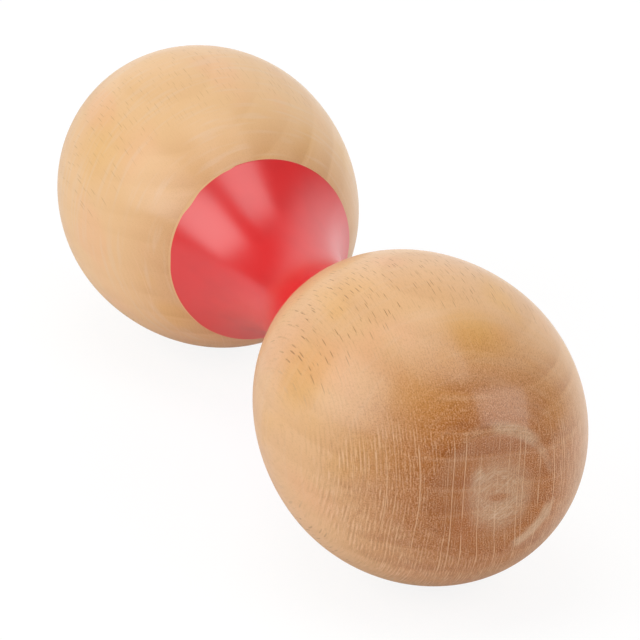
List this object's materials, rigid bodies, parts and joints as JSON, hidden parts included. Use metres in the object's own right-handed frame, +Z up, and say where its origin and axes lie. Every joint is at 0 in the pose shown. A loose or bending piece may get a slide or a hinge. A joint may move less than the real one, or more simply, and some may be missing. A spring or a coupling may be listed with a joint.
{
  "type": "double-ended maraca",
  "caption": "Hand rattle turned from wood: two hollow egg-shaped ends with loose pellets inside, glued to the tenons of a concave painted waist that is its grip.",
  "frame": {"origin": "on the surface that the maraca lies on, straight under the middle of the waist", "axes": "+X along the long axis from the rear shell to the front shell, +Z up from the surface it lies on, +Y sideways"},
  "size_m": [0.162, 0.05, 0.05],
  "materials": {
    "lacquered_beech": "clear satin lacquer over turned beech",
    "red_paint": "gloss red paint over turned beech",
    "steel": "bright rolled steel shot"
  },
  "bodies": {
    "wooden_body": {"waist": "red_paint", "front_shell": "lacquered_beech", "rear_shell": "lacquered_beech"},
    "front_pellet_01": {"front_pellet_01": "steel"},
    "front_pellet_02": {"front_pellet_02": "steel"},
    "front_pellet_03": {"front_pellet_03": "steel"},
    "front_pellet_04": {"front_pellet_04": "steel"},
    "front_pellet_05": {"front_pellet_05": "steel"},
    "front_pellet_06": {"front_pellet_06": "steel"},
    "front_pellet_07": {"front_pellet_07": "steel"},
    "front_pellet_08": {"front_pellet_08": "steel"},
    "front_pellet_09": {"front_pellet_09": "steel"},
    "front_pellet_10": {"front_pellet_10": "steel"},
    "rear_pellet_01": {"rear_pellet_01": "steel"},
    "rear_pellet_02": {"rear_pellet_02": "steel"},
    "rear_pellet_03": {"rear_pellet_03": "steel"},
    "rear_pellet_04": {"rear_pellet_04": "steel"},
    "rear_pellet_05": {"rear_pellet_05": "steel"},
    "rear_pellet_06": {"rear_pellet_06": "steel"},
    "rear_pellet_07": {"rear_pellet_07": "steel"},
    "rear_pellet_08": {"rear_pellet_08": "steel"},
    "rear_pellet_09": {"rear_pellet_09": "steel"},
    "rear_pellet_10": {"rear_pellet_10": "steel"}
  },
  "joints": [
    {"name": "front_pellet_01_run", "type": "slide", "parent": "wooden_body", "child": "front_pellet_01", "axis": [1, 0, 0], "range_m": [0, 0.0337]},
    {"name": "front_pellet_02_run", "type": "slide", "parent": "wooden_body", "child": "front_pellet_02", "axis": [1, 0, 0], "range_m": [0, 0.0337]},
    {"name": "front_pellet_03_run", "type": "slide", "parent": "wooden_body", "child": "front_pellet_03", "axis": [1, 0, 0], "range_m": [0, 0.0337]},
    {"name": "front_pellet_04_run", "type": "slide", "parent": "wooden_body", "child": "front_pellet_04", "axis": [1, 0, 0], "range_m": [0, 0.0337]},
    {"name": "front_pellet_05_run", "type": "slide", "parent": "wooden_body", "child": "front_pellet_05", "axis": [1, 0, 0], "range_m": [0, 0.0337]},
    {"name": "front_pellet_06_run", "type": "slide", "parent": "wooden_body", "child": "front_pellet_06", "axis": [1, 0, 0], "range_m": [0, 0.0337]},
    {"name": "front_pellet_07_run", "type": "slide", "parent": "wooden_body", "child": "front_pellet_07", "axis": [1, 0, 0], "range_m": [0, 0.0337]},
    {"name": "front_pellet_08_run", "type": "slide", "parent": "wooden_body", "child": "front_pellet_08", "axis": [1, 0, 0], "range_m": [0, 0.0337]},
    {"name": "front_pellet_09_run", "type": "slide", "parent": "wooden_body", "child": "front_pellet_09", "axis": [1, 0, 0], "range_m": [0, 0.0337]},
    {"name": "front_pellet_10_run", "type": "slide", "parent": "wooden_body", "child": "front_pellet_10", "axis": [1, 0, 0], "range_m": [0, 0.0337]},
    {"name": "rear_pellet_01_run", "type": "slide", "parent": "wooden_body", "child": "rear_pellet_01", "axis": [1, 0, 0], "range_m": [0, 0.0337]},
    {"name": "rear_pellet_02_run", "type": "slide", "parent": "wooden_body", "child": "rear_pellet_02", "axis": [1, 0, 0], "range_m": [0, 0.0337]},
    {"name": "rear_pellet_03_run", "type": "slide", "parent": "wooden_body", "child": "rear_pellet_03", "axis": [1, 0, 0], "range_m": [0, 0.0337]},
    {"name": "rear_pellet_04_run", "type": "slide", "parent": "wooden_body", "child": "rear_pellet_04", "axis": [1, 0, 0], "range_m": [0, 0.0337]},
    {"name": "rear_pellet_05_run", "type": "slide", "parent": "wooden_body", "child": "rear_pellet_05", "axis": [1, 0, 0], "range_m": [0, 0.0337]},
    {"name": "rear_pellet_06_run", "type": "slide", "parent": "wooden_body", "child": "rear_pellet_06", "axis": [1, 0, 0], "range_m": [0, 0.0337]},
    {"name": "rear_pellet_07_run", "type": "slide", "parent": "wooden_body", "child": "rear_pellet_07", "axis": [1, 0, 0], "range_m": [0, 0.0337]},
    {"name": "rear_pellet_08_run", "type": "slide", "parent": "wooden_body", "child": "rear_pellet_08", "axis": [1, 0, 0], "range_m": [0, 0.0337]},
    {"name": "rear_pellet_09_run", "type": "slide", "parent": "wooden_body", "child": "rear_pellet_09", "axis": [1, 0, 0], "range_m": [0, 0.0337]},
    {"name": "rear_pellet_10_run", "type": "slide", "parent": "wooden_body", "child": "rear_pellet_10", "axis": [1, 0, 0], "range_m": [0, 0.0337]}
  ]
}
